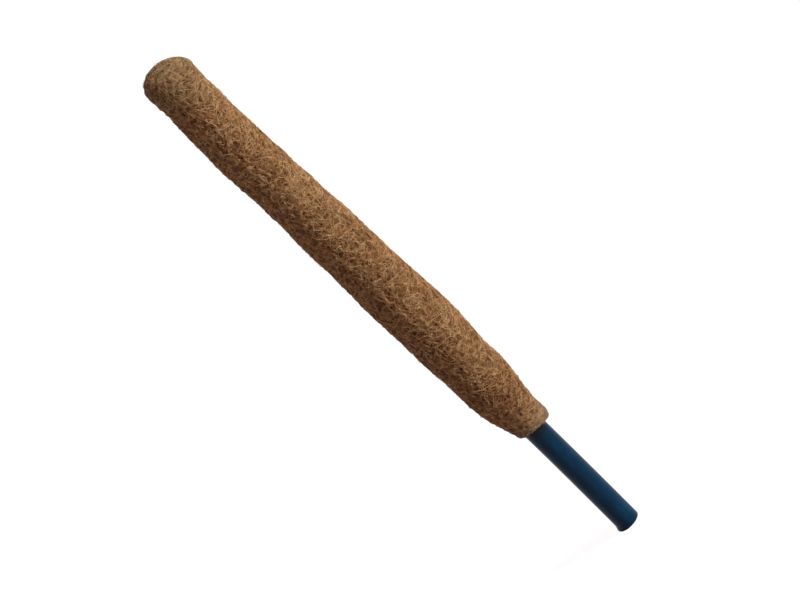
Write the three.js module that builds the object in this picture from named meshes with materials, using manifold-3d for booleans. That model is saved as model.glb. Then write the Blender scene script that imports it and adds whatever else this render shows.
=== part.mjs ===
// Coir moss pole: a rigid plastic pipe wrapped in two layers of coconut-fibre felt, bound with twine.
// Millimetres, +Z up along the pole. The origin lies on the axis at soil level, where the coir begins,
// with the bare pipe below it as the stake.
import * as THREE from 'three';
import { mergeVertices } from 'three/addons/utils/BufferGeometryUtils.js';
import Module from 'manifold-3d';

// Pipe: nominal half-inch rigid PVC, sawn square at both ends
const PIPE_DIAMETER = 21.3;
const PIPE_WALL = 2.1;
const PIPE_EDGE = 0.4;
const STAKE_LENGTH = 127;

// Coir body: its length, and the felt's thickness at the places that give the pole its outline
const COIR_LENGTH = 483;
const INNER_FELT = 6;
const RIM_FELT = 4.5;
const SHOULDER_HEIGHT = 57;
const SHOULDER_FELT = 6.6;
const BELLY_HEIGHT = 150;
const BELLY_FELT = 9.1;
const MIDDLE_HEIGHT = 270;
const MIDDLE_FELT = 7.8;
const HEAD_FELT = 5.8;
const DOME_HEIGHT = 14;
const RIM_EDGE = 2;
const EDGE_LAND = 0.5;
const SEAM_GAP = 0.8;

// Coir pad that closes the top
const PAD_THICKNESS = 14;

// Twine ties: each draws the felt in a little, and the lowest one gathers it on the pipe
const TWINE_DIAMETER = 1;
const TWINE_LOOPS = 2;
const TURN_GAP = 0.7;
const NECK_TIE_HEIGHT = 9;
const FIRST_TIE_HEIGHT = 92;
const TIE_SPACING = 120;
const TIE_TO_TOP = 25;
const TIE_PINCH = 1.8;
const PINCH_REACH = 12;

// Clearances: between layers, and from the twine to the felt under it
const FIT_GAP = 0.3;
const TIE_SEAT = 0.4;

// Facets
const PIPE_SIDES = 48;
const FELT_SIDES = 36;
const OUTLINE_STEP = 9;
const EDGE_STEPS = 3;
const STEPS_PER_LOOP = 24;
const TWINE_SIDES = 6;

// Sizes that follow
const pipeRadius = PIPE_DIAMETER / 2;
const boreRadius = pipeRadius - PIPE_WALL;
const neckBore = pipeRadius + FIT_GAP;
const innerFeltRadius = neckBore + INNER_FELT;
const feltBore = innerFeltRadius + FIT_GAP;
const padBottom = COIR_LENGTH - PAD_THICKNESS;
const domeBase = COIR_LENGTH - DOME_HEIGHT;
const tieCount = Math.floor((COIR_LENGTH - TIE_TO_TOP - FIRST_TIE_HEIGHT) / TIE_SPACING) + 1;
const bindingHeights = Array.from({ length: tieCount }, (_, i) => FIRST_TIE_HEIGHT + i * TIE_SPACING);
const tieHeights = [NECK_TIE_HEIGHT, ...bindingHeights];

const bluePlastic = new THREE.MeshStandardMaterial({ color: 0x14405e, roughness: 0.3, metalness: 0 });
const coir = new THREE.MeshStandardMaterial({ color: 0x8f673c, roughness: 0.95, metalness: 0 });
const innerCoir = new THREE.MeshStandardMaterial({ color: 0x7b5731, roughness: 0.95, metalness: 0 });
const twine = new THREE.MeshStandardMaterial({ color: 0x9a7547, roughness: 0.85, metalness: 0 });

const wasm = await Module();
wasm.setup();

// Outline of the coir before it is tied: rim, shoulder, belly, middle and head, on a smooth curve
const bodyFelt = [SHOULDER_FELT, BELLY_FELT, MIDDLE_FELT, HEAD_FELT];
const outline = new THREE.CubicInterpolant(
  [0, SHOULDER_HEIGHT, BELLY_HEIGHT, MIDDLE_HEIGHT, domeBase],
  [neckBore + RIM_FELT, ...bodyFelt.map((felt) => feltBore + felt)],
  1,
);

// Radius of the tied coir at a height: each tie draws it in, less and less with distance
function coirRadius(height) {
  const drawnIn = tieHeights.map((tie) => TIE_PINCH * Math.exp(-(((height - tie) / PINCH_REACH) ** 2)));
  return outline.evaluate(height)[0] - drawnIn.reduce((sum, depth) => sum + depth, 0);
}

// Edge rounding at the rim, no more than the felt's wall allows
const rimEdge = Math.min(RIM_EDGE, coirRadius(0) - neckBore - EDGE_LAND);

// Domed top: the stretch of a half ellipse from one radius in to another
const domeRadius = coirRadius(domeBase);
function dome(outside, inside, steps) {
  const from = Math.acos(outside / domeRadius);
  const to = Math.acos(inside / domeRadius);
  return new THREE.EllipseCurve(0, domeBase, domeRadius, DOME_HEIGHT, from, to).getPoints(steps);
}

// Round body about Z from an outline of radius and height
function turned(points, sides) {
  return new THREE.LatheGeometry([...points, points[0]], sides).rotateX(Math.PI / 2);
}

function arc(x, y, radius, from, to) {
  return new THREE.EllipseCurve(x, y, radius, radius, from, to).getPoints(EDGE_STEPS);
}

function solidOf(geometry) {
  const plain = geometry.clone();
  plain.deleteAttribute('normal');
  plain.deleteAttribute('uv');
  const merged = mergeVertices(plain);
  const vertProperties = new Float32Array(merged.attributes.position.array);
  const triVerts = new Uint32Array(merged.index.array);
  return new wasm.Manifold(new wasm.Mesh({ numProp: 3, vertProperties, triVerts }));
}

function geometryOf(solid) {
  const mesh = solid.getMesh();
  const geometry = new THREE.BufferGeometry();
  geometry.setAttribute('position', new THREE.BufferAttribute(mesh.vertProperties, 3));
  geometry.setIndex(new THREE.BufferAttribute(mesh.triVerts, 1));
  geometry.computeVertexNormals();
  return geometry;
}

function named(name, geometry, material) {
  const mesh = new THREE.Mesh(geometry, material);
  mesh.name = name;
  return mesh;
}

// Pipe: one length, from the foot to just under the top pad
function corePipe() {
  const foot = -STAKE_LENGTH;
  const top = padBottom - FIT_GAP;
  const points = [
    new THREE.Vector2(pipeRadius - PIPE_EDGE, foot),
    new THREE.Vector2(pipeRadius, foot + PIPE_EDGE),
    new THREE.Vector2(pipeRadius, top - PIPE_EDGE),
    new THREE.Vector2(pipeRadius - PIPE_EDGE, top),
    new THREE.Vector2(boreRadius + PIPE_EDGE, top),
    new THREE.Vector2(boreRadius, top - PIPE_EDGE),
    new THREE.Vector2(boreRadius, foot + PIPE_EDGE),
    new THREE.Vector2(boreRadius + PIPE_EDGE, foot),
  ];
  return named('core_pipe', turned(points, PIPE_SIDES), bluePlastic);
}

// Inner felt: one turn round the pipe, its long edges butted at the front
function innerWrap() {
  const halfSeam = SEAM_GAP / 2 / neckBore;
  const front = -Math.PI / 2;
  const section = new THREE.Shape();
  section.absarc(0, 0, innerFeltRadius, front + halfSeam, front - halfSeam + 2 * Math.PI, false);
  section.absarc(0, 0, neckBore, front - halfSeam + 2 * Math.PI, front + halfSeam, true);
  section.closePath();
  const depth = padBottom - FIT_GAP - SHOULDER_HEIGHT;
  const curveSegments = FELT_SIDES / 2;
  const sheet = new THREE.ExtrudeGeometry(section, { depth, bevelEnabled: false, curveSegments });
  return named('inner_coir_wrap', sheet.translate(0, 0, SHOULDER_HEIGHT), innerCoir);
}

// Heights of the outline's points: even steps within each stretch, with one point at every tie
function outlineHeights() {
  const stops = [rimEdge, ...tieHeights, domeBase];
  const heights = [stops[0]];
  for (let i = 1; i < stops.length; i += 1) {
    const count = Math.max(1, Math.round((stops[i] - stops[i - 1]) / OUTLINE_STEP));
    for (let step = 1; step <= count; step += 1) {
      heights.push(THREE.MathUtils.lerp(stops[i - 1], stops[i], step / count));
    }
  }
  return heights;
}

// Outer felt: drawn in on the pipe at the rim, resting over the inner felt above the shoulder,
// soft at the rim, rounded over at the top, with its long edges butted at the back
function outerWrap() {
  const rim = coirRadius(rimEdge);
  const ledge = SHOULDER_HEIGHT - FIT_GAP;
  const points = [
    new THREE.Vector2(neckBore, 0),
    ...arc(rim - rimEdge, rimEdge, rimEdge, -Math.PI / 2, 0).slice(0, -1),
    ...outlineHeights().map((height) => new THREE.Vector2(coirRadius(height), height)),
    ...dome(domeRadius, feltBore, EDGE_STEPS).slice(1),
    new THREE.Vector2(feltBore, ledge),
    new THREE.Vector2(neckBore, ledge),
  ];
  const pastFelt = 2 * (feltBore + Math.max(...bodyFelt));
  const slit = new THREE.BoxGeometry(SEAM_GAP, pastFelt, 2 * COIR_LENGTH);
  slit.translate(0, pastFelt / 2, COIR_LENGTH / 2);
  const felt = solidOf(turned(points, FELT_SIDES)).subtract(solidOf(slit));
  return named('outer_coir_wrap', geometryOf(felt), coir);
}

// Pad: rests on the pipe and the inner felt, inside the outer felt, and carries on its dome
function topPad() {
  const points = [
    new THREE.Vector2(0, padBottom),
    new THREE.Vector2(innerFeltRadius, padBottom),
    ...dome(innerFeltRadius, 0, 2 * EDGE_STEPS).slice(0, -1),
    new THREE.Vector2(0, COIR_LENGTH),
  ];
  return named('top_coir_pad', turned(points, FELT_SIDES), coir);
}

// Point one twine diameter past the end of a line
function straightOn(end, before) {
  const ahead = end.clone().sub(before).normalize();
  return end.clone().addScaledVector(ahead, TWINE_DIAMETER);
}

// Middle line of a tie: turns laid side by side on the felt, with a straight stretch at each end
function tieLine(height) {
  const pitch = TWINE_DIAMETER + TURN_GAP;
  const steps = TWINE_LOOPS * STEPS_PER_LOOP;
  const line = Array.from({ length: steps + 1 }, (_, i) => {
    const turn = i / STEPS_PER_LOOP;
    const z = height + pitch * (turn - TWINE_LOOPS / 2);
    const radius = coirRadius(z) + TIE_SEAT + TWINE_DIAMETER / 2;
    const angle = 2 * Math.PI * turn + Math.PI / 2;
    return new THREE.Vector3(radius * Math.cos(angle), radius * Math.sin(angle), z);
  });
  return [straightOn(line[0], line[1]), ...line, straightOn(line.at(-1), line.at(-2))];
}

// Least clear distance between the turns of one tie, measured on its points
function leastTurnGap(line) {
  let least = Infinity;
  for (let i = 0; i < line.length; i += 1) {
    for (let j = i + STEPS_PER_LOOP / 2; j < line.length; j += 1) {
      least = Math.min(least, line[i].distanceTo(line[j]) - TWINE_DIAMETER);
    }
  }
  return least;
}

function tie(name, height) {
  const line = tieLine(height);
  const corners = Array.from({ length: TWINE_SIDES }, (_, i) => {
    const angle = (2 * Math.PI * i) / TWINE_SIDES;
    return new THREE.Vector2(Math.cos(angle), Math.sin(angle)).multiplyScalar(TWINE_DIAMETER / 2);
  });
  const extrudePath = new THREE.CatmullRomCurve3(line);
  const tube = new THREE.ExtrudeGeometry(new THREE.Shape(corners), { steps: line.length - 1, extrudePath });
  console.log(`${name}: least gap between turns ${leastTurnGap(line).toFixed(2)} mm`);
  return named(name, tube, twine);
}

const pole = new THREE.Group();
pole.add(corePipe(), innerWrap(), outerWrap(), topPad(), tie('neck_tie', NECK_TIE_HEIGHT));
bindingHeights.forEach((height, i) => pole.add(tie(`binding_tie_${i + 1}`, height)));

export default pole;
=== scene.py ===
"""Dresses a coir moss pole: felted coir on a navy rigid PVC pipe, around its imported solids."""

import logging
import math
from collections.abc import Sequence
from dataclasses import dataclass, field
from enum import Enum

import bmesh
import bpy
import numpy as np
from bmesh.types import BMEdge, BMesh
from bpy.types import Material, Mesh, NodeOutputs, NodeSocket, NodeTree, Object
from mathutils import Matrix, Vector


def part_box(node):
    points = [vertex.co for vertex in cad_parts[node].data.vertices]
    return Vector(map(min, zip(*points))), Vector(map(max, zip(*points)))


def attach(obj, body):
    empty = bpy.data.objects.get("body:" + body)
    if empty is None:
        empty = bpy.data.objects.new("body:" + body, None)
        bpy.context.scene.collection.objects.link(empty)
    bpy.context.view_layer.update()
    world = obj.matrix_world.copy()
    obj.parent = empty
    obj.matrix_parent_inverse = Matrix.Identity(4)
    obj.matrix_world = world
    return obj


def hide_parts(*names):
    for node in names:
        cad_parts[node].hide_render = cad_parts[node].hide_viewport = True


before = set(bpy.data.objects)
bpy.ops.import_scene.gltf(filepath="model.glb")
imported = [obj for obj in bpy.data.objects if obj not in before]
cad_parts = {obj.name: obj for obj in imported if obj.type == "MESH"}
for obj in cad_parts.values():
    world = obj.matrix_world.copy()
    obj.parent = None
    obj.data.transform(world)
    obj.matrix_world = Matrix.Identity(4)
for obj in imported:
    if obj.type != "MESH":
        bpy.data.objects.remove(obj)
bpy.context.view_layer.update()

log = logging.getLogger("moss_pole")

Array = np.ndarray
Span = tuple[float, float]
Outline = Sequence[Span]
Stops = Sequence[tuple[float, str]]
Track = list[tuple[Array, Array, Array]]

MM = 0.001
TAU = 2 * math.pi
BODY = "root"
WHITE = "ffffff"

# The vertex attribute of a hair's tone, from 0, dark, to 1, pale.
TONE = "tone"

# Felt keeps this far off the next piece.
FELT_FIT = 0.15 * MM

# Vertices nearer to each other than this are one.
WELD = 0.001 * MM

# Rays start this far off, well outside the pole.
FAR = 1.0

# Keeps a division off zero where the outline ends.
TINY = 1e-9

# The mean value of a noise texture.
NOISE_MEAN = 0.5

# A colour Mix node's sockets go by number, because its other sockets have the same names.
MIX_SHARE = 0
MIX_FIRST = 6
MIX_SECOND = 7
MIX_RESULT = 2


def linear(hex_colour: str) -> tuple[float, float, float, float]:
    """Turns an sRGB hex colour into linear light, by the numbers of the sRGB standard.

    Args:
        hex_colour: six hex digits, red first.

    Returns:
        Linear red, green and blue, and an alpha of 1.
    """
    shares = [int(hex_colour[i:i + 2], 16) / 255 for i in (0, 2, 4)]
    red, green, blue = (s / 12.92 if s <= 0.04045 else ((s + 0.055) / 1.055) ** 2.4 for s in shares)
    return red, green, blue, 1.0


def add_node(
    tree: NodeTree, kind: str, inputs: dict | None = None, stops: Stops = (), **settings: object,
) -> NodeOutputs:
    """Adds a shader node with its settings and links.

    Args:
        tree: the material's or world's node tree.
        kind: the node's type name, after the word ShaderNode.
        inputs: a value, or the socket to link from, for each input by name or number.
        stops: the places and hex colours of a colour ramp, in order.
        settings: the node's own properties.

    Returns:
        The new node's outputs.
    """
    node = tree.nodes.new("ShaderNode" + kind)
    for name, value in settings.items():
        setattr(node, name, value)
    for name, value in (inputs or {}).items():
        if isinstance(value, NodeSocket):
            tree.links.new(value, node.inputs[name])
        else:
            node.inputs[name].default_value = value
    for index, (place, colour) in enumerate(stops):
        points = node.color_ramp.elements
        point = points[index] if index < len(points) else points.new(place)
        point.position = place
        point.color = linear(colour)
    return node.outputs


@dataclass(frozen=True)
class Finish:
    """What every finish has: a name, and a material that is made once."""

    name: str

    def material(self) -> Material:
        """Gives the finish's material.

        Returns:
            The material, made on the first call.
        """
        made = bpy.data.materials.get(self.name)
        if made is None:
            made = bpy.data.materials.new(self.name)
            made.use_nodes = True
            made.node_tree.nodes.clear()
            self.shade(made.node_tree)
        return made

    def shade(self, tree: NodeTree) -> None:
        """Adds the finish's nodes to an empty tree."""
        raise NotImplementedError


@dataclass(frozen=True)
class WornEnd:
    """Coir greyed by handling: none at the height clean, and the given share from the height worn on."""

    clean: float
    worn: float
    share: float
    colour: str


@dataclass(frozen=True)
class CoirHair(Finish):
    """Retted coconut husk fibre, combed out and laid: hard round hairs from dark brown to straw."""

    # The eye gets a mottled brown with a faint waxy sheen. Tones differ by the hair, the tuft and the patch,
    # and both ends are greyer. Tufts differ most on the pole's left, its shaded side: painted shade, for the
    # mottled shading of light that grazes there.
    name: str = "coir_hair"
    browns: Stops = ((0.0, "673b24"), (0.35, "9e6f46"), (0.65, "c09464"), (1.0, "d9b488"))
    darker: float = 0.26
    patch: float = 26 * MM
    patch_swing: float = 0.55
    tuft: float = 4.4 * MM
    shaded_side_swing: float = 2.4
    swing_right: float = 1.15
    left: float = -14 * MM
    right: float = 8 * MM
    rust: float = 11 * MM
    rust_start: float = 0.4
    rust_full: float = 0.65
    rust_share: float = 0.6
    rust_tint: str = "ffe9d8"
    ends: tuple[WornEnd, ...] = (
        WornEnd(clean=26 * MM, worn=2 * MM, share=0.5, colour="8c7f6e"),
        WornEnd(clean=430 * MM, worn=478 * MM, share=0.28, colour="8f8466"),
    )
    roughness: float = 0.66
    ior: float = 1.53
    sheen: float = 0.3

    def shade(self, tree: NodeTree) -> None:
        """Adds nodes that colour each hair by its own tone, its tuft, its patch and its end of the pole.

        Args:
            tree: the material's empty node tree.
        """
        place = add_node(tree, "TexCoord")["Object"]
        axes = add_node(tree, "SeparateXYZ", {0: place})
        tone = add_node(tree, "Attribute", attribute_name=TONE)["Fac"]
        patch, tuft, rust = (
            add_node(tree, "TexNoise", {
                "Vector": place, "Scale": 1 / size, "Detail": 2.0, "Roughness": 0.5,
            })["Fac"]
            for size in (self.patch, self.tuft, self.rust)
        )
        patched = add_node(tree, "Math", {
            0: patch, 1: self.patch_swing, 2: tone,
        }, operation="MULTIPLY_ADD")[0]
        # Painted shade: tufts swing wider on the pole's shaded left than on its lit right.
        side_swing = add_node(tree, "MapRange", {
            "Value": axes["X"], "From Min": self.left, "From Max": self.right,
            "To Min": self.shaded_side_swing, "To Max": self.swing_right,
        }, interpolation_type="SMOOTHSTEP")[0]
        shift = add_node(tree, "Math", {0: tuft, 1: NOISE_MEAN}, operation="SUBTRACT")[0]
        tufted = add_node(tree, "Math", {0: shift, 1: side_swing, 2: patched}, operation="MULTIPLY_ADD")[0]
        level = add_node(tree, "Math", {0: tufted, 1: self.darker}, operation="SUBTRACT")[0]
        brown = add_node(tree, "ValToRGB", {"Fac": level}, stops=self.browns)["Color"]
        reddened = add_node(tree, "MapRange", {
            "Value": rust, "From Min": self.rust_start, "From Max": self.rust_full,
            "To Max": self.rust_share,
        })[0]
        colour = add_node(tree, "Mix", {
            MIX_SHARE: reddened, MIX_FIRST: brown, MIX_SECOND: linear(self.rust_tint),
        }, data_type="RGBA", blend_type="MULTIPLY")[MIX_RESULT]
        for end in self.ends:
            wear = add_node(tree, "MapRange", {
                "Value": axes["Z"], "From Min": end.clean, "From Max": end.worn, "To Max": end.share,
            }, interpolation_type="SMOOTHSTEP")[0]
            colour = add_node(tree, "Mix", {
                MIX_SHARE: wear, MIX_FIRST: colour, MIX_SECOND: linear(end.colour),
            }, data_type="RGBA")[MIX_RESULT]
        surface = add_node(tree, "BsdfPrincipled", {
            "Base Color": colour, "Roughness": self.roughness, "IOR": self.ior,
            "Specular IOR Level": self.sheen,
        })[0]
        add_node(tree, "OutputMaterial", {"Surface": surface})


@dataclass(frozen=True)
class CoirFelt(Finish):
    """Needled coir felt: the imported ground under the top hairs."""

    # The eye gets a dull tangle between the top hairs. Its browns are darker than the hairs', darker still
    # between its strands and in its pits: painted shade, for the shade under and between the top hairs. Real
    # hairs are too fine to show there, so its strands are drawn 1.3 mm apart. They run five ways, each
    # turned from Z.
    name: str = "coir_felt"
    browns: Stops = ((0.12, "442616"), (0.25, "6b4527"), (0.4, "93683e"))
    pit_shade: float = 5 * MM
    strand_gap: float = 1.3 * MM
    strand_length: float = 11 * MM
    strand_edge: float = 0.09
    ways: tuple[tuple[float, float, float], ...] = (
        (0.3, 0.2, 0.0), (1.3, 0.2, 0.4), (0.5, 1.2, 0.2), (1.1, -0.8, 1.0), (-0.7, 0.6, 0.5),
    )
    bend: float = 4 * MM
    bend_length: float = 9 * MM
    shaded_ground_level: float = 0.2
    strand_level: float = 0.5
    relief: float = 0.4 * MM
    relief_share: float = 0.8
    roughness: float = 0.85
    sheen: float = 0.15

    def shade(self, tree: NodeTree) -> None:
        """Adds nodes for bent strands over a darker ground with darker pits, which are painted shade.

        Args:
            tree: the material's empty node tree.
        """
        place = add_node(tree, "TexCoord")["Object"]
        pit_shade = add_node(tree, "TexNoise", {
            "Vector": place, "Scale": 1 / self.pit_shade, "Detail": 2.0, "Roughness": 0.55,
        })["Fac"]
        bend = add_node(tree, "TexNoise", {
            "Vector": place, "Scale": 1 / self.bend_length, "Detail": 1.0,
        })["Color"]
        bent = add_node(tree, "VectorMath", {
            0: bend, 1: (self.bend,) * 3, 2: place,
        }, operation="MULTIPLY_ADD")[0]
        tangle: float | NodeSocket = 0.0
        for way in self.ways:
            laid = add_node(tree, "Mapping", {
                "Vector": bent, "Rotation": way,
                "Scale": (1 / self.strand_gap, 1 / self.strand_gap, 1 / self.strand_length),
            })[0]
            wave = add_node(tree, "TexNoise", {"Vector": laid, "Scale": 1.0, "Detail": 0.0})["Fac"]
            off = add_node(tree, "Math", {0: wave, 1: NOISE_MEAN}, operation="SUBTRACT")[0]
            apart = add_node(tree, "Math", {0: off}, operation="ABSOLUTE")[0]
            strand = add_node(tree, "MapRange", {
                "Value": apart, "From Max": self.strand_edge, "To Min": 1.0, "To Max": 0.0,
            }, interpolation_type="SMOOTHSTEP")[0]
            tangle = add_node(tree, "Math", {0: tangle, 1: strand}, operation="MAXIMUM")[0]
        # Painted shade: the ground between the strands and the pits are darker than the strands.
        cover = add_node(tree, "Math", {
            0: tangle, 1: self.strand_level, 2: self.shaded_ground_level,
        }, operation="MULTIPLY_ADD")[0]
        level = add_node(tree, "Math", {0: pit_shade, 1: cover}, operation="MULTIPLY")[0]
        brown = add_node(tree, "ValToRGB", {"Fac": level}, stops=self.browns)["Color"]
        bump = add_node(tree, "Bump", {
            "Height": tangle, "Strength": self.relief_share, "Distance": self.relief,
        })[0]
        surface = add_node(tree, "BsdfPrincipled", {
            "Base Color": brown, "Roughness": self.roughness, "Specular IOR Level": self.sheen,
            "Normal": bump,
        })[0]
        add_node(tree, "OutputMaterial", {"Surface": surface})


@dataclass(frozen=True)
class RigidPvc(Finish):
    """Rigid PVC, dyed navy all through and drawn out of a die."""

    # The eye gets a smooth, half glossy navy with faint die lines along the pipe, paler and duller scuffs,
    # and a near-black band just under the rim: painted shade, for the coir rim's shadow on the pipe. Real
    # die lines are too fine to show, so these are 1.2 mm apart.
    name: str = "navy_rigid_pvc"
    blues: Stops = ((0.35, "03253c"), (0.55, "052f4a"), (0.75, "0e4262"))
    die_line: float = 1.2 * MM
    die_stretch: float = 0.01
    die_depth: float = 0.05 * MM
    die_share: float = 0.25
    scuff: float = 9 * MM
    scuff_stretch: float = 0.35
    scuff_start: float = 0.3
    scuff_full: float = 0.75
    smooth: float = 0.22
    scuffed: float = 0.42
    rim_shade: str = "17191a"
    rim_shade_share: float = 0.8
    rim_shade_top: float = -3 * MM
    rim_shade_foot: float = -9.5 * MM
    rim_shade_fray: float = 5 * MM
    ior: float = 1.53
    sheen: float = 0.07

    def shade(self, tree: NodeTree) -> None:
        """Adds nodes for die lines, scuffs and a painted shade band under the rim, whose lower edge frays as
        the scuffs do.

        Args:
            tree: the material's empty node tree.
        """
        place = add_node(tree, "TexCoord")["Object"]
        drawn, smeared = (
            add_node(tree, "Mapping", {"Vector": place, "Scale": (1.0, 1.0, stretch)})[0]
            for stretch in (self.die_stretch, self.scuff_stretch)
        )
        lines = add_node(tree, "TexNoise", {
            "Vector": drawn, "Scale": 1 / self.die_line, "Detail": 2.0,
        })["Fac"]
        scuff = add_node(tree, "TexNoise", {
            "Vector": smeared, "Scale": 1 / self.scuff, "Detail": 5.0, "Roughness": 0.65,
        })["Fac"]
        blue = add_node(tree, "ValToRGB", {"Fac": scuff}, stops=self.blues)["Color"]
        # Painted shade: a near-black band on the pipe just under the coir's rim, where the rim shades it.
        height = add_node(tree, "SeparateXYZ", {0: place})["Z"]
        frayed = add_node(tree, "Math", {
            0: scuff, 1: self.rim_shade_fray, 2: height,
        }, operation="MULTIPLY_ADD")[0]
        rim_shaded = add_node(tree, "MapRange", {
            "Value": frayed, "From Min": self.rim_shade_foot + self.rim_shade_fray * NOISE_MEAN,
            "From Max": self.rim_shade_top + self.rim_shade_fray * NOISE_MEAN, "To Max": self.rim_shade_share,
        }, interpolation_type="SMOOTHSTEP")[0]
        colour = add_node(tree, "Mix", {
            MIX_SHARE: rim_shaded, MIX_FIRST: blue, MIX_SECOND: linear(self.rim_shade),
        }, data_type="RGBA")[MIX_RESULT]
        dull = add_node(tree, "MapRange", {
            "Value": scuff, "From Min": self.scuff_start, "From Max": self.scuff_full,
            "To Min": self.smooth, "To Max": self.scuffed,
        })[0]
        bump = add_node(tree, "Bump", {
            "Height": lines, "Strength": self.die_share, "Distance": self.die_depth,
        })[0]
        surface = add_node(tree, "BsdfPrincipled", {
            "Base Color": colour, "Roughness": dull, "IOR": self.ior, "Specular IOR Level": self.sheen,
            "Normal": bump,
        })[0]
        add_node(tree, "OutputMaterial", {"Surface": surface})


@dataclass(frozen=True)
class CoirTwine(Finish):
    """Two-ply coir twine: the same hairs, spun tight."""

    # The eye gets hairs of several browns, a little paler than the felt. Real ones are too fine to show,
    # so these are 0.8 mm apart.
    name: str = "coir_twine"
    browns: Stops = ((0.3, "7d5a38"), (0.7, "c6a172"))
    hair: float = 0.8 * MM
    relief: float = 0.15 * MM
    relief_share: float = 0.7
    roughness: float = 0.75
    sheen: float = 0.25

    def shade(self, tree: NodeTree) -> None:
        """Adds nodes for spun hairs of several browns.

        Args:
            tree: the material's empty node tree.
        """
        place = add_node(tree, "TexCoord")["Object"]
        hair = add_node(tree, "TexNoise", {
            "Vector": place, "Scale": 1 / self.hair, "Detail": 3.0, "Roughness": 0.6,
        })["Fac"]
        brown = add_node(tree, "ValToRGB", {"Fac": hair}, stops=self.browns)["Color"]
        bump = add_node(tree, "Bump", {
            "Height": hair, "Strength": self.relief_share, "Distance": self.relief,
        })[0]
        surface = add_node(tree, "BsdfPrincipled", {
            "Base Color": brown, "Roughness": self.roughness, "Specular IOR Level": self.sheen,
            "Normal": bump,
        })[0]
        add_node(tree, "OutputMaterial", {"Surface": surface})


def seen_directly(tree: NodeTree) -> NodeSocket:
    """Adds nodes that tell rays of the camera, of gloss and of glass from the rest.

    Args:
        tree: the floor's or the world's node tree.

    Returns:
        A socket that is 1 for such a ray, and 0 for a ray that only carries light.
    """
    path = add_node(tree, "LightPath")
    seen = path["Is Camera Ray"]
    for kind in ("Is Glossy Ray", "Is Transmission Ray"):
        seen = add_node(tree, "Math", {0: seen, 1: path[kind]}, operation="MAXIMUM")[0]
    return seen


@dataclass(frozen=True)
class WhiteFloor(Finish):
    """Matt white paper, rolled out flat."""

    # The eye gets plain white with the pole's faint shadow. Rays that see the paper get a share of plain
    # glow with it, and the light on the pole stays as it is.
    name: str = "white_floor"
    paper: str = "e9dce2"
    glow: float = 1.5
    glow_share: float = 0.62

    def shade(self, tree: NodeTree) -> None:
        """Adds nodes that mix the lit paper with plain white for the rays that see it.

        Args:
            tree: the material's empty node tree.
        """
        paper = add_node(tree, "BsdfDiffuse", {"Color": linear(self.paper)})[0]
        glow = add_node(tree, "Emission", {"Color": linear(WHITE), "Strength": self.glow})[0]
        share = add_node(tree, "Math", {
            0: seen_directly(tree), 1: self.glow_share,
        }, operation="MULTIPLY")[0]
        mixed = add_node(tree, "MixShader", {0: share, 1: paper, 2: glow})[0]
        add_node(tree, "OutputMaterial", {"Surface": mixed})


class Slot(Enum):
    """The record's material slots."""

    COIR = "coir"
    PIPE = "pipe_plastic"
    TWINE = "twine"


def add_piece(name: str, mesh: Mesh, finish: Finish, nodes: Sequence[str] = ()) -> Object:
    """Makes a mesh a piece of the pole.

    Args:
        name: the piece's name.
        mesh: its mesh, in place.
        finish: its finish.
        nodes: the solids that it stands for.

    Returns:
        The new object.
    """
    mesh.materials.append(finish.material())
    piece = bpy.data.objects.new(name, mesh)
    bpy.context.scene.collection.objects.link(piece)
    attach(piece, BODY)
    if nodes:
        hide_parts(*nodes)
    mesh.calc_loop_triangles()
    log.info("%s: %d triangles, finish %s", name, len(mesh.loop_triangles), finish.name)
    return piece


def spun(profile: Outline, steps: int) -> BMesh:
    """Turns a closed outline of radius and height once round Z.

    Args:
        profile: radius and height of each corner.
        steps: the number of steps round.

    Returns:
        A closed bmesh with its faces pointing out.
    """
    bm = bmesh.new()
    corners = [bm.verts.new((radius, 0.0, height)) for radius, height in profile]
    edges = [bm.edges.new(pair) for pair in zip(corners, corners[1:] + corners[:1])]
    bmesh.ops.spin(
        bm, geom=corners + edges, cent=(0, 0, 0), axis=(0, 0, 1), angle=TAU, steps=steps, use_merge=True,
    )
    bmesh.ops.remove_doubles(bm, verts=bm.verts, dist=WELD)
    on_axis = [edge for edge in bm.edges if edge.is_wire]
    bmesh.ops.delete(bm, geom=on_axis, context="EDGES")
    bmesh.ops.recalc_face_normals(bm, faces=bm.faces)
    return bm


def smooth_mesh(name: str, bm: BMesh, sharp_angle: float) -> Mesh:
    """Turns a bmesh into a smooth shaded mesh and frees it.

    Args:
        name: the mesh's name.
        bm: the finished bmesh.
        sharp_angle: edges bent more than this stay sharp, in radians.

    Returns:
        The mesh.
    """
    mesh = bpy.data.meshes.new(name)
    bm.to_mesh(mesh)
    bm.free()
    mesh.shade_smooth()
    mesh.set_sharp_from_angle(angle=sharp_angle)
    return mesh


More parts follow.
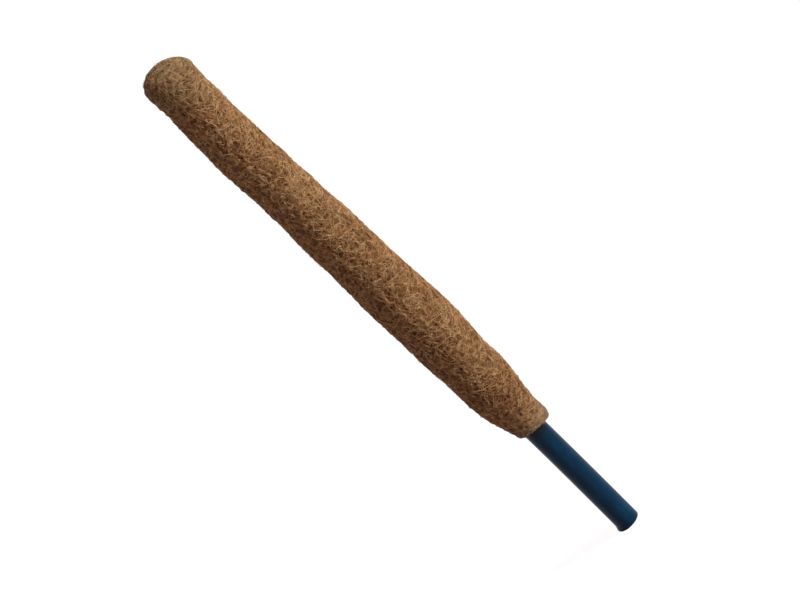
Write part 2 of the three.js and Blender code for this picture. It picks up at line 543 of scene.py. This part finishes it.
def hair_mesh(name: str, paths: Array, widths: Array, tones: Array | None = None) -> Mesh:
    """Makes thin four-sided hairs along paths.

    Args:
        name: the mesh's name.
        paths: the points of each hair, as hairs by points by three.
        widths: the hair's thickness at each point, as hairs by points.
        tones: each hair's tone, where the finish reads it.

    Returns:
        One mesh of all the hairs, with the tone on its vertices.
    """
    curve = bpy.data.curves.new(name, "CURVE")
    curve.dimensions = "3D"
    # With a half here, the radius of a point is the hair's full thickness.
    curve.bevel_depth = 0.5
    curve.bevel_resolution = 0
    curve.use_fill_caps = True
    for path, width in zip(paths, widths):
        spline = curve.splines.new("POLY")
        spline.points.add(len(path) - 1)
        spline.points.foreach_set("co", np.column_stack([path, np.ones(len(path))]).ravel())
        spline.points.foreach_set("radius", width)
    holder = bpy.data.objects.new(name, curve)
    mesh = bpy.data.meshes.new_from_object(holder)
    bpy.data.objects.remove(holder)
    bpy.data.curves.remove(curve)
    mesh.name = name
    if tones is not None:
        shades = mesh.attributes.new(TONE, "FLOAT", "POINT")
        shades.data.foreach_set("value", np.repeat(tones, len(mesh.vertices) // len(tones)))
    bm = bmesh.new()
    bm.from_mesh(mesh)
    bmesh.ops.remove_doubles(bm, verts=bm.verts, dist=WELD)
    bm.to_mesh(mesh)
    bm.free()
    mesh.shade_smooth()
    return mesh


class Side(Enum):
    """The side of the pole that a swelling is on, as the turn from +X that it faces."""

    RIGHT = 0.0
    LEFT = math.pi
    ROUND = None


@dataclass(frozen=True)
class Swelling:
    """A place where the hand-wrapped coir stands out, or in where its rise is negative."""

    height: float
    rise: float
    reach: float
    side: Side
    fade_power: float = 1.5

    def lift(self, turn: Array, height: Array) -> Array:
        """Gives how far the coir stands out.

        Args:
            turn: angles round the pole.
            height: heights on the pole.

        Returns:
            The rise at each of them.
        """
        along = np.exp(-(((height - self.height) / self.reach) ** 2))
        if self.side is Side.ROUND:
            return self.rise * along
        return self.rise * along * np.clip(np.cos(turn - self.side.value), 0, None) ** self.fade_power


# Height, rise and reach along the pole, in millimetres, and side.
SWELLINGS = tuple(
    Swelling(height * MM, rise * MM, reach * MM, side)
    for height, rise, reach, side in (
        (4, 3.5, 12, Side.RIGHT), (12, 1.0, 9, Side.ROUND), (38, -0.7, 14, Side.RIGHT),
        (44, 1.4, 18, Side.LEFT), (94, 0.9, 9, Side.LEFT), (142, 0.9, 22, Side.RIGHT),
        (140, -0.9, 30, Side.LEFT), (212, 1.1, 12, Side.ROUND), (237, -0.6, 12, Side.ROUND),
        (300, -1.1, 14, Side.ROUND), (332, 1.2, 14, Side.LEFT), (375, 1.0, 30, Side.LEFT),
        (370, -1.9, 28, Side.RIGHT), (412, -1.9, 24, Side.RIGHT), (454, 0.8, 10, Side.ROUND),
        (415, 0.5, 40, Side.LEFT), (474, 0.3, 12, Side.LEFT), (472, 0.9, 12, Side.RIGHT),
    )
)


@dataclass
class CoirSkin:
    """The coir's outer surface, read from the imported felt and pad, and uneven as hand-wrapped coir is.

    A place on it is a turn round the pole and an arc, the way along the outline from the pipe, under the
    lower rim, up the side and over the top edge to the middle of the top.
    """

    spacing: float = 1.5 * MM
    sink: float = 1.1 * MM
    head_tilt: float = 0.17
    head_reach: float = 28 * MM
    crown: float = 2.8 * MM
    crown_reach: float = 9 * MM
    seam_depth: float = 1.5 * MM
    seam_half: float = 1.1 * MM
    seam_turn: float = math.pi / 2
    rim_tilt: float = 0.05
    rim_draw: float = 0.27
    rim_reach: float = 20 * MM
    slow_rise: float = 0.15 * MM
    slow_length: float = 60 * MM
    dimple_rise: float = 0.24 * MM
    dimple_length: float = 6 * MM
    wave_count: int = 14
    wave_spread: Span = (0.7, 1.5)
    seed: int = 5
    radii: Array = field(init=False)
    heights: Array = field(init=False)
    arcs: Array = field(init=False)
    slow: Array = field(init=False)
    dimples: Array = field(init=False)
    foot: float = field(init=False)
    head: float = field(init=False)
    neck: float = field(init=False)
    rim: float = field(init=False)
    shoulder: float = field(init=False)

    def __post_init__(self) -> None:
        """Reads the outline from the solids and draws the waves that make it uneven."""
        self.read_outline()
        rng = np.random.default_rng(self.seed)
        self.slow = self.waves(rng, self.slow_length)
        self.dimples = self.waves(rng, self.dimple_length)

    def read_outline(self) -> None:
        """Follows the solids' outside with rays: under the rim, up the side and over the top."""
        wrap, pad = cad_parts["outer_coir_wrap"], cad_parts["top_coir_pad"]
        low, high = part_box("outer_coir_wrap")
        pad_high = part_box("top_coir_pad")[1]
        self.foot, self.head = low.z, pad_high.z
        self.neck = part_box("core_pipe")[1].x
        # Part of a step off the rim's corners, because a ray would graze the felt there.
        levels = np.arange(low.z + self.spacing / 3, high.z, self.spacing)
        side = [(self.meet(wrap, Vector((FAR, 0, z)), Vector((-1, 0, 0))).x, z) for z in levels]
        under = [(r, low.z) for r in np.arange(self.neck + self.spacing / 2, side[0][0], self.spacing)]
        inward = np.arange(side[-1][0] - self.spacing, 0, -self.spacing)
        tops = [
            max(self.meet(node, Vector((r, 0, FAR)), Vector((0, 0, -1))).z for node in (wrap, pad))
            for r in inward
        ]
        lips = [pad_high.x + FELT_FIT, pad_high.x - FELT_FIT]
        over = np.sort(np.concatenate([inward, lips, [0.0]]))[::-1]
        top = np.column_stack([over, np.interp(-over, -inward, tops)])
        self.radii, self.heights = np.array([*under, *side, *top]).T
        steps = np.hypot(np.diff(self.radii), np.diff(self.heights))
        self.arcs = np.concatenate([[0.0], np.cumsum(steps)])
        self.rim = self.arcs[len(under)]
        self.shoulder = self.arcs[len(under) + len(side) - 1]

    @staticmethod
    def meet(node: Object, start: Vector, way: Vector) -> Vector:
        """Gives where a ray meets a solid first, or a point far below where it misses."""
        hit, point, _, _ = node.ray_cast(start, way)
        return point if hit else Vector((0, 0, -FAR))

    def waves(self, rng: np.random.Generator, length: float) -> Array:
        """Draws waves that close round the pole.

        Args:
            rng: the random numbers.
            length: the waves' mean length.

        Returns:
            Whole waves round, radians per metre along, and phase of each wave.
        """
        way = rng.uniform(0, TAU, self.wave_count)
        size = length * rng.uniform(*self.wave_spread, self.wave_count)
        girth = TAU * self.radii.max()
        round_count = np.rint(girth / size * np.cos(way))
        along = TAU / size * np.sin(way)
        return np.array([round_count, along, rng.uniform(0, TAU, self.wave_count)])

    @staticmethod
    def ripple(waves: Array, turn: Array, arc: Array) -> Array:
        """Adds up what waves() drew, to a sum that is mostly from -1 to 1, at each place."""
        total = sum(np.sin(n * turn + k * arc + p) for n, k, p in waves.T)
        return total / math.sqrt(waves.shape[1] / 2)

    def radius(self, arc: Array) -> Array:
        """Gives the outline's radius at each arc."""
        return np.interp(arc, self.arcs, self.radii)

    def height(self, arc: Array) -> Array:
        """Gives the outline's height at each arc."""
        return np.interp(arc, self.arcs, self.heights)

    def arc_of_radius(self, radius: Array) -> Array:
        """Gives the arc at which the top has each radius."""
        top = self.arcs >= self.shoulder
        return np.interp(-radius, -self.radii[top], self.arcs[top])

    def arc_of_height(self, height: Array) -> Array:
        """Gives the arc at which the side has each height."""
        side = (self.arcs >= self.rim) & (self.arcs <= self.shoulder)
        return np.interp(height, self.heights[side], self.arcs[side])

    def seam_dip(self, turn: Array, arc: Array) -> Array:
        """Gives how deep the butted seam dips.

        Args:
            turn: angles round the pole.
            arc: places along the outline.

        Returns:
            The depth at each of them.
        """
        across = np.arcsin(np.sin((turn - self.seam_turn) / 2)) * 2 * self.radius(arc)
        seam = self.seam_depth * np.exp(-((across / self.seam_half) ** 2))
        return seam * np.clip((self.shoulder - arc) / self.seam_depth, 0, 1)

    def place(self, turn: Array, arc: Array, rise: Array) -> Array:
        """Gives points on or over the uneven skin.

        Args:
            turn: angles round the pole.
            arc: places along the outline.
            rise: how far over the felt each point is.

        Returns:
            The points, with x, y and z last.
        """
        ahead, behind = arc + self.spacing, arc - self.spacing
        height = self.height(arc)
        d_radius = self.radius(ahead) - self.radius(behind)
        d_height = self.height(ahead) - self.height(behind)
        length = np.hypot(d_radius, d_height) + TINY
        lift = sum(swelling.lift(turn, height) for swelling in SWELLINGS)
        lift = lift + self.slow_rise * self.ripple(self.slow, turn, arc)
        lift = lift + self.dimple_rise * self.ripple(self.dimples, turn, arc)
        lift = lift * np.clip(arc / self.rim, 0, 1) * np.clip((self.arcs[-1] - arc) / self.neck, 0, 1)
        lift = lift + self.crown * np.exp(-(((height - self.head) / self.crown_reach) ** 2))
        out = lift - self.seam_dip(turn, arc) + rise - self.sink
        radius = self.radius(arc) + out * d_height / length
        radius = np.maximum(radius, np.where(arc < self.rim, self.neck, 0.0))
        x, y = radius * np.cos(turn), radius * np.sin(turn)
        head = np.clip((height - self.head + self.head_reach) / self.head_reach, 0, 1) ** 2
        neck = np.clip((self.foot + self.rim_reach - height) / self.rim_reach, 0, 1) ** 2
        tilt = self.head_tilt * head + self.rim_tilt * neck
        drawn_up = self.rim_draw * np.clip(-y, 0, None) * neck
        z = height - out * d_radius / length - tilt * x + drawn_up
        return np.stack([x, y, z], axis=-1)


@dataclass
class StakePipe:
    """The pipe: core of the pole above, stake below, sawn off square at both ends."""

    wall: float = 2.1 * MM
    chamfer: float = 0.45 * MM
    chamfer_segments: int = 3
    burr: float = 1.3 * MM
    burr_length: float = 7 * MM
    burr_rings: int = 6
    bow: float = 1.8 * MM
    bow_start: float = 0.0
    bow_power: float = 1.5
    level_climb: float = 1 * MM
    steps: int = 96
    rings: int = 60
    sharp_angle: float = math.radians(50)

    @staticmethod
    def climb(edge: BMEdge) -> float:
        """Gives how much higher one end of an edge is than the other."""
        return abs(edge.verts[0].co.z - edge.verts[1].co.z)

    def build(self) -> Mesh:
        """Turns the pipe, softens its sawn ends, turns out a saw burr at the foot and bows the stake.

        Returns:
            The pipe's mesh.
        """
        low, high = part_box("core_pipe")
        outer, foot, top = high.x, low.z, high.z
        inner = outer - self.wall
        burr_top = foot + self.burr_length
        bm = spun([(inner, foot), (outer, foot), (outer, top), (inner, top)], self.steps)
        level = [e for e in bm.edges if self.climb(e) < self.level_climb]
        ends = [e for e in level if np.ptp([v.co.xy.length for v in e.verts]) < self.chamfer]
        bmesh.ops.bevel(
            bm, geom=ends, offset=self.chamfer, segments=self.chamfer_segments, profile=0.5, affect="EDGES",
            material=-1,
        )
        longs = [e for e in bm.edges if self.climb(e) > (top - foot) / 2]
        bmesh.ops.subdivide_edges(bm, edges=longs, cuts=self.rings, use_grid_fill=True)
        upright = [e for e in bm.edges if self.climb(e) > self.level_climb]
        lowest = [e for e in upright if min(v.co.z for v in e.verts) < burr_top]
        bmesh.ops.subdivide_edges(bm, edges=lowest, cuts=self.burr_rings, use_grid_fill=True)
        for vert in bm.verts:
            if vert.co.z < burr_top and vert.co.xy.length > inner + self.wall / 2:
                share = (1 - (vert.co.z - foot) / self.burr_length) ** 2
                lean = max(0.0, -vert.co.x / outer)
                vert.co.xy *= 1 + self.burr / outer * share * lean
            depth = max(0.0, self.bow_start - vert.co.z) / (self.bow_start - foot)
            vert.co.x -= self.bow * depth ** self.bow_power
        return smooth_mesh("navy_pipe", bm, self.sharp_angle)

    def dress(self) -> None:
        """Adds the pipe to the scene in place of its solid."""
        add_piece("navy_pipe", self.build(), RigidPvc(), ["core_pipe"])


@dataclass
class FeltWraps:
    """The three felt pieces under the top hairs: the inner wrap, the outer wrap and the pad."""

    skin: CoirSkin
    steps: int = 120
    sharp_angle: float = math.radians(60)
    touch: float = 0.01 * MM

    def inner_wrap(self) -> Outline:
        """Gives the inner wrap, which stays inside and even.

        Returns:
            Its outline.
        """
        low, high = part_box("inner_coir_wrap")
        bore = self.skin.neck + FELT_FIT
        return [(bore, low.z), (high.x, low.z), (high.x, high.z), (bore, high.z)]

    def outer_wrap(self) -> Outline:
        """Gives the outer wrap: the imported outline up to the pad, then its inside down to the ledge.

        Returns:
            Its outline.
        """
        skin = self.skin
        inner_low, inner_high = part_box("inner_coir_wrap")
        pad_low, pad_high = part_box("top_coir_pad")
        bore, ledge = inner_high.x + FELT_FIT, inner_low.z - FELT_FIT
        over = -skin.radii[skin.arcs > skin.shoulder]
        last = np.searchsorted(over, -pad_high.x - FELT_FIT, side="right")
        count = int(np.count_nonzero(skin.arcs <= skin.shoulder) + last)
        outside = zip(skin.radii[:count], skin.heights[:count])
        return [*outside, (bore, pad_low.z), (bore, ledge), (skin.neck + FELT_FIT, ledge)]

    def pad(self) -> Outline:
        """Gives the pad that closes the top.

        Returns:
            Its outline.
        """
        skin = self.skin
        low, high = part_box("top_coir_pad")
        edge = high.x - FELT_FIT
        on_pad = (skin.radii <= edge) & (skin.arcs > skin.shoulder)
        return [(0.0, low.z), (edge, low.z), *zip(skin.radii[on_pad], skin.heights[on_pad])]

    def settle(self, bm: BMesh) -> None:
        """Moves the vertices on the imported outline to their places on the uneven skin.

        Args:
            bm: a felt piece, turned.
        """
        skin = self.skin
        places = np.array([v.co for v in bm.verts])
        radius = np.hypot(places[:, 0], places[:, 1])
        gap = (radius[:, None] - skin.radii) ** 2 + (places[:, 2, None] - skin.heights) ** 2
        nearest = gap.argmin(axis=1)
        outside = gap.min(axis=1) < self.touch ** 2
        turn = np.arctan2(places[:, 1], places[:, 0])
        moved = skin.place(turn, skin.arcs[nearest], np.zeros(len(turn)))
        for vert, place, is_outside in zip(bm.verts, moved, outside):
            if is_outside:
                vert.co = place

    def dress(self) -> None:
        """Adds the felt pieces in place of their solids."""
        for name, node, outline in (
            ("inner_felt", "inner_coir_wrap", self.inner_wrap()),
            ("outer_felt", "outer_coir_wrap", self.outer_wrap()),
            ("pad_felt", "top_coir_pad", self.pad()),
        ):
            bm = spun(outline, self.steps)
            self.settle(bm)
            mesh = smooth_mesh(name, bm, self.sharp_angle)
            piece = add_piece(name, mesh, CoirFelt(), [node])


@dataclass
class TwineTie:
    """A tie: two turns of two-ply twine, sunk in the coir."""

    node: str
    skin: CoirSkin
    loops: int = 2
    twine: float = 1.0 * MM
    pitch: float = 1.7 * MM
    ply: float = 0.58 * MM
    ply_starts: Span = (0.0, math.pi)
    lay: float = 4.0 * MM
    steps_per_lay: int = 6
    rise: float = 0.35 * MM

    def build(self) -> Mesh:
        """Twists the two plies round the tie's helix, from the seam round to the seam.

        Returns:
            The tie's mesh.
        """
        skin = self.skin
        low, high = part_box(self.node)
        radius = (high.x - low.x - self.twine) / 2
        length = TAU * radius * self.loops
        count = int(length / self.lay * self.steps_per_lay)
        share = np.linspace(0, 1, count)
        turn = skin.seam_turn + share * TAU * self.loops
        height = (low.z + high.z) / 2 + (share - 1 / 2) * self.pitch * self.loops
        off = (self.twine - self.ply) / 2
        plies = []
        for start in self.ply_starts:
            twist = start + share * TAU * length / self.lay
            arc = skin.arc_of_height(height + off * np.sin(twist))
            # Twine bridges the seam, so it doesn't dip there.
            rise = self.rise + off * np.cos(twist) + skin.seam_dip(turn, arc)
            plies.append(skin.place(turn, arc, rise))
        widths = np.full((len(plies), count), self.ply)
        return hair_mesh(self.node + "_twine", np.array(plies), widths)

    def dress(self) -> None:
        """Adds the tie in place of its solid."""
        add_piece(self.node + "_twine", self.build(), CoirTwine(), [self.node])


class Ground(Enum):
    """What a layer of hairs lies on."""

    SIDE = "side"
    TOP = "top"


@dataclass
class HairLayer:
    """Coir hairs that lie on the skin in loose bundles, curl, and dive under each other.

    They are 0.2 to 0.5 mm thick, as the strongest coir is, because finer hairs would not show.
    """

    name: str
    skin: CoirSkin
    first: float
    last: float
    bundles: int
    seed: int
    ground: Ground = Ground.SIDE
    hairs: int = 3
    points: int = 6
    step: float = 3.0 * MM
    curl: float = 85.0
    sway_pace: float = 0.9
    top_edges: Span = (0.72, 1.0)
    spread: float = 0.3 * MM
    low: float = 0.1 * MM
    high: float = 0.9 * MM
    wave: float = 0.2 * MM
    wave_paces: Span = (2, 6)
    dive_power: int = 6
    width: float = 0.31 * MM
    width_spread: Span = (0.7, 1.3)
    taper: float = 0.7
    taper_power: int = 5
    tone: float = 0.5
    bundle_tone: float = 0.16
    hair_tone: float = 0.07
    # Painted shade: how much darker a deep hair's tone is than a high one's.
    depth_shade: float = 0.5

    def wander(self, rng: np.random.Generator) -> Track:
        """Walks each bundle over the side on a bending way, and turns it back at the rim.

        Args:
            rng: the random numbers.

        Returns:
            Turn, arc and heading of every bundle, point by point.
        """
        skin = self.skin
        turn = rng.uniform(0, TAU, self.bundles)
        arc = rng.uniform(self.first, self.last, self.bundles)
        heading = rng.uniform(0, TAU, self.bundles)
        bend = rng.normal(0, self.curl, self.bundles)
        sway = rng.normal(0, self.curl, self.bundles)
        phase = rng.uniform(0, TAU, self.bundles)
        track = []
        for index in range(self.points):
            track.append((turn, arc, heading))
            heading = heading + (bend + sway * np.sin(phase + self.sway_pace * index)) * self.step
            arc = arc + self.step * np.cos(heading)
            past_rim = arc < skin.spacing
            arc = np.where(past_rim, 2 * skin.spacing - arc, np.minimum(arc, skin.arcs[-1] - skin.neck))
            heading = np.where(past_rim, math.pi - heading, heading)
            turn = turn + self.step * np.sin(heading) / skin.radius(arc)
        return track

    def wander_on_top(self, rng: np.random.Generator) -> Track:
        """Walks each bundle over the domed top, within an edge of its own.

        Args:
            rng: the random numbers.

        Returns:
            Turn, arc and heading of every bundle, point by point.
        """
        skin = self.skin
        edge = skin.radius(np.array(self.first)) * rng.uniform(*self.top_edges, self.bundles)
        reach = edge * np.sqrt(rng.uniform(0, 1, self.bundles))
        side = rng.uniform(0, TAU, self.bundles)
        x, y = reach * np.cos(side), reach * np.sin(side)
        way = rng.uniform(0, TAU, self.bundles)
        bend = rng.normal(0, self.curl, self.bundles)
        track = []
        for _ in range(self.points):
            turn = np.arctan2(y, x)
            track.append((turn, skin.arc_of_radius(np.hypot(x, y)), turn + math.pi - way))
            way = way + bend * self.step
            x, y = x + self.step * np.cos(way), y + self.step * np.sin(way)
            over = np.maximum(np.hypot(x, y) / edge, 1.0)
            x, y = x / over, y / over
        return track

    def build(self) -> Mesh:
        """Lays the hairs of each bundle side by side and makes their mesh.

        Returns:
            The layer's mesh.
        """
        rng = np.random.default_rng(self.seed)
        skin = self.skin
        walk = self.wander if self.ground is Ground.SIDE else self.wander_on_top
        turn, arc, heading = (np.repeat(np.array(rows).T, self.hairs, axis=0) for rows in zip(*walk(rng)))
        count = self.bundles * self.hairs
        along = np.linspace(-1, 1, self.points)
        beside = rng.normal(0, self.spread, (count, 1)) + rng.normal(0, self.spread, (count, 1)) * along
        arc = np.clip(arc - beside * np.sin(heading), skin.spacing, skin.arcs[-1] - skin.spacing)
        turn = turn + beside * np.cos(heading) / np.maximum(skin.radius(arc), skin.spacing)
        level = rng.uniform(self.low, self.high, (count, 1))
        phase = rng.uniform(0, TAU, (count, 1))
        pace = rng.uniform(*self.wave_paces, (count, 1))
        dive = self.high * np.abs(along) ** self.dive_power
        rise = level + self.wave * np.sin(phase + pace * along) - dive
        taper = 1 - self.taper * np.abs(along) ** self.taper_power
        widths = self.width * rng.uniform(*self.width_spread, (count, 1)) * taper
        tones = np.repeat(rng.normal(self.tone, self.bundle_tone, self.bundles), self.hairs)
        tones = tones + rng.normal(0, self.hair_tone, count)
        # Painted shade and light: a hair that lies deeper, nearer the felt, gets a darker tone, and a high
        # one a paler tone.
        tones = tones + self.depth_shade * (level[:, 0] / self.high - 1 / 2)
        return hair_mesh(self.name, skin.place(turn, arc, rise), widths, tones)

    def dress(self) -> None:
        """Adds the layer to the scene."""
        add_piece(self.name, self.build(), CoirHair())


@dataclass
class LooseEnds:
    """Short ends of hairs that stand off the coir and soften its outline."""

    skin: CoirSkin
    count: int = 2600
    points: int = 5
    length: float = 7 * MM
    length_spread: Span = (0.5, 1.5)
    bend: float = 1.2
    root: float = 0.4 * MM
    stand: float = 2.2 * MM
    stand_spread: Span = (0.3, 1.3)
    stand_power: float = 1.5
    width: float = 0.26 * MM
    taper: float = 0.6
    tone: float = 0.6
    tone_spread: float = 0.18
    seed: int = 71

    def build(self) -> Mesh:
        """Grows each end out of the skin on a bending way.

        Returns:
            The ends' mesh.
        """
        rng = np.random.default_rng(self.seed)
        skin = self.skin
        each = (self.count, 1)
        along = np.linspace(0, 1, self.points)
        length = self.length * rng.uniform(*self.length_spread, each)
        heading = rng.uniform(0, TAU, each) + rng.normal(0, self.bend, each) * along
        arc = rng.uniform(skin.rim / 2, skin.arcs[-1] - skin.neck, each)
        arc = np.clip(arc + length * along * np.cos(heading), skin.spacing, skin.arcs[-1] - skin.spacing)
        turn = rng.uniform(0, TAU, each) + length * along * np.sin(heading) / skin.radius(arc)
        stand = self.stand * rng.uniform(*self.stand_spread, each)
        rise = self.root + stand * along ** self.stand_power
        widths = self.width * (1 - self.taper * along) * np.ones(each)
        tones = rng.normal(self.tone, self.tone_spread, self.count)
        return hair_mesh("loose_ends", skin.place(turn, arc, rise), widths, tones)

    def dress(self) -> None:
        """Adds the loose ends to the scene."""
        add_piece("loose_ends", self.build(), CoirHair())


@dataclass
class HairCoat:
    """All the hairs on the felt: seven zones up the side, the rim, long hairs, the top and loose ends."""

    skin: CoirSkin
    # The neck's tone is the lowest of the zones: painted shade where the coir turns down to the rim.
    zone_tones: tuple[tuple[str, float], ...] = (
        ("neck", 0.39), ("low", 0.45), ("belly", 0.47), ("waist", 0.52), ("middle", 0.53), ("high", 0.49),
        ("head", 0.51),
    )
    zone_bundles: int = 1460
    zone_seed: int = 11
    over_shoulder: float = 11 * MM
    rim_width: float = 12 * MM

    def layers(self) -> list[HairLayer]:
        """Shares out the side by zones, and sets out the layers that cover what they leave thin.

        Returns:
            The zones from the neck up, then the rim, the long hairs and the top.
        """
        skin = self.skin
        bounds = np.linspace(skin.spacing, skin.shoulder + self.over_shoulder, len(self.zone_tones) + 1)
        zones = [
            HairLayer(
                f"{zone}_hairs", skin, first, last, bundles=self.zone_bundles, seed=self.zone_seed + index,
                tone=tone,
            )
            for index, ((zone, tone), first, last) in enumerate(zip(self.zone_tones, bounds, bounds[1:]))
        ]
        return zones + [
            # The rim's hairs are darker still: painted shade on the rim, which faces down.
            HairLayer("rim_hairs", skin, skin.spacing, self.rim_width, bundles=230, seed=20, tone=0.3),
            HairLayer(
                "long_hairs", skin, skin.rim, skin.shoulder, bundles=900, seed=21, hairs=1, points=12,
                step=2.8 * MM, curl=80.0, low=0.5 * MM, high=1.1 * MM, width=0.42 * MM, tone=0.6,
            ),
            # The top's hairs are darker than the side's: painted shade on the domed top.
            HairLayer(
                "top_hairs", skin, skin.shoulder, skin.arcs[-1], bundles=400, seed=33, ground=Ground.TOP,
                tone=0.34,
            ),
        ]

    def dress(self) -> None:
        """Adds the layers and the loose ends to the scene."""
        for layer in self.layers():
            layer.dress()
        LooseEnds(self.skin).dress()


@dataclass(frozen=True)
class SoftLamp:
    """A broad soft lamp, placed by its angles.

    Its side is the turn from the camera's side towards the pole's right, its height the angle over the
    floor, and its width the angle that it spans, which softens its shadows.
    """

    name: str
    side: float
    height: float
    width: float
    strength: float
    colour: str = "f9fffa"

    def hang(self) -> None:
        """Adds the lamp to the scene."""
        lamp = bpy.data.lights.new(self.name, "SUN")
        lamp.energy = self.strength
        lamp.color = linear(self.colour)[:3]
        lamp.angle = self.width
        flat = math.cos(self.height)
        source = Vector((math.sin(self.side) * flat, -math.cos(self.side) * flat, math.sin(self.height)))
        holder = bpy.data.objects.new(self.name, lamp)
        holder.rotation_euler = source.to_track_quat("Z", "Y").to_euler()
        bpy.context.scene.collection.objects.link(holder)


@dataclass
class Studio:
    """The white floor, the soft light from the pole's right and back, and the camera of the photograph."""

    elevation: float = math.radians(28)
    roll: float = math.radians(46.34)
    distance: float = 16.0
    aim_height: float = 174 * MM
    pixels_per_metre: float = 1205.0
    image_width: float = 800.0
    sensor: float = 36.0
    floor_radius: float = 40.0
    floor_sides: int = 64
    lamps: tuple[SoftLamp, ...] = (
        SoftLamp("key", math.radians(65), math.radians(22), math.radians(16), strength=3.5),
        SoftLamp("back", math.radians(175), math.radians(20), math.radians(60), strength=0.85),
    )
    sky: str = "ffcdb6"
    sky_strength: float = 0.106

    def add_floor(self) -> None:
        """Lays the floor under the pipe's foot."""
        bm = bmesh.new()
        bmesh.ops.create_circle(bm, cap_ends=True, segments=self.floor_sides, radius=self.floor_radius)
        bmesh.ops.translate(bm, verts=bm.verts, vec=(0, 0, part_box("core_pipe")[0].z))
        mesh = bpy.data.meshes.new("floor")
        bm.to_mesh(mesh)
        bm.free()
        mesh.materials.append(WhiteFloor().material())
        floor = bpy.data.objects.new("floor", mesh)
        bpy.context.scene.collection.objects.link(floor)

    def add_light(self) -> None:
        """Hangs the lamps and sets an even, weak sky that looks white."""
        for lamp in self.lamps:
            lamp.hang()
        world = bpy.data.worlds.new("studio")
        world.use_nodes = True
        tree = world.node_tree
        tree.nodes.clear()
        sky = add_node(tree, "Background", {"Color": linear(self.sky), "Strength": self.sky_strength})[0]
        white = add_node(tree, "Background", {"Color": linear(WHITE), "Strength": 1.0})[0]
        both = add_node(tree, "MixShader", {0: seen_directly(tree), 1: sky, 2: white})[0]
        add_node(tree, "OutputWorld", {"Surface": both})
        bpy.context.scene.world = world

    def add_camera(self) -> None:
        """Sets the camera: a long lens that looks down on the pole, rolled until the pole lies slantwise."""
        data = bpy.data.cameras.new("camera")
        data.sensor_width = self.sensor
        data.lens = self.sensor * self.distance * self.pixels_per_metre / self.image_width
        data.clip_end = 2 * self.floor_radius
        back = Vector((0, -math.cos(self.elevation), math.sin(self.elevation)))
        right = Vector((1, 0, 0))
        upright = back.cross(right)
        up = math.cos(self.roll) * upright + math.sin(self.roll) * right
        turn = Matrix((up.cross(back), up, back)).transposed().to_4x4()
        stand = Vector((0, 0, self.aim_height)) + back * self.distance
        camera = bpy.data.objects.new("camera", data)
        camera.matrix_world = Matrix.Translation(stand) @ turn
        bpy.context.scene.collection.objects.link(camera)
        bpy.context.scene.camera = camera
        bpy.context.scene.view_settings.view_transform = "Standard"

    def dress(self) -> None:
        """Adds floor, light and camera."""
        self.add_floor()
        self.add_light()
        self.add_camera()


def main() -> None:
    """Builds the pole piece by piece and sets it in the studio."""
    logging.basicConfig(level=logging.INFO, format="%(name)s %(message)s")
    Studio().dress()
    StakePipe().dress()
    skin = CoirSkin()
    FeltWraps(skin).dress()
    for node in ("neck_tie", "binding_tie_1", "binding_tie_2", "binding_tie_3", "binding_tie_4"):
        TwineTie(node, skin).dress()
    HairCoat(skin).dress()


if __name__ == "__main__":
    main()
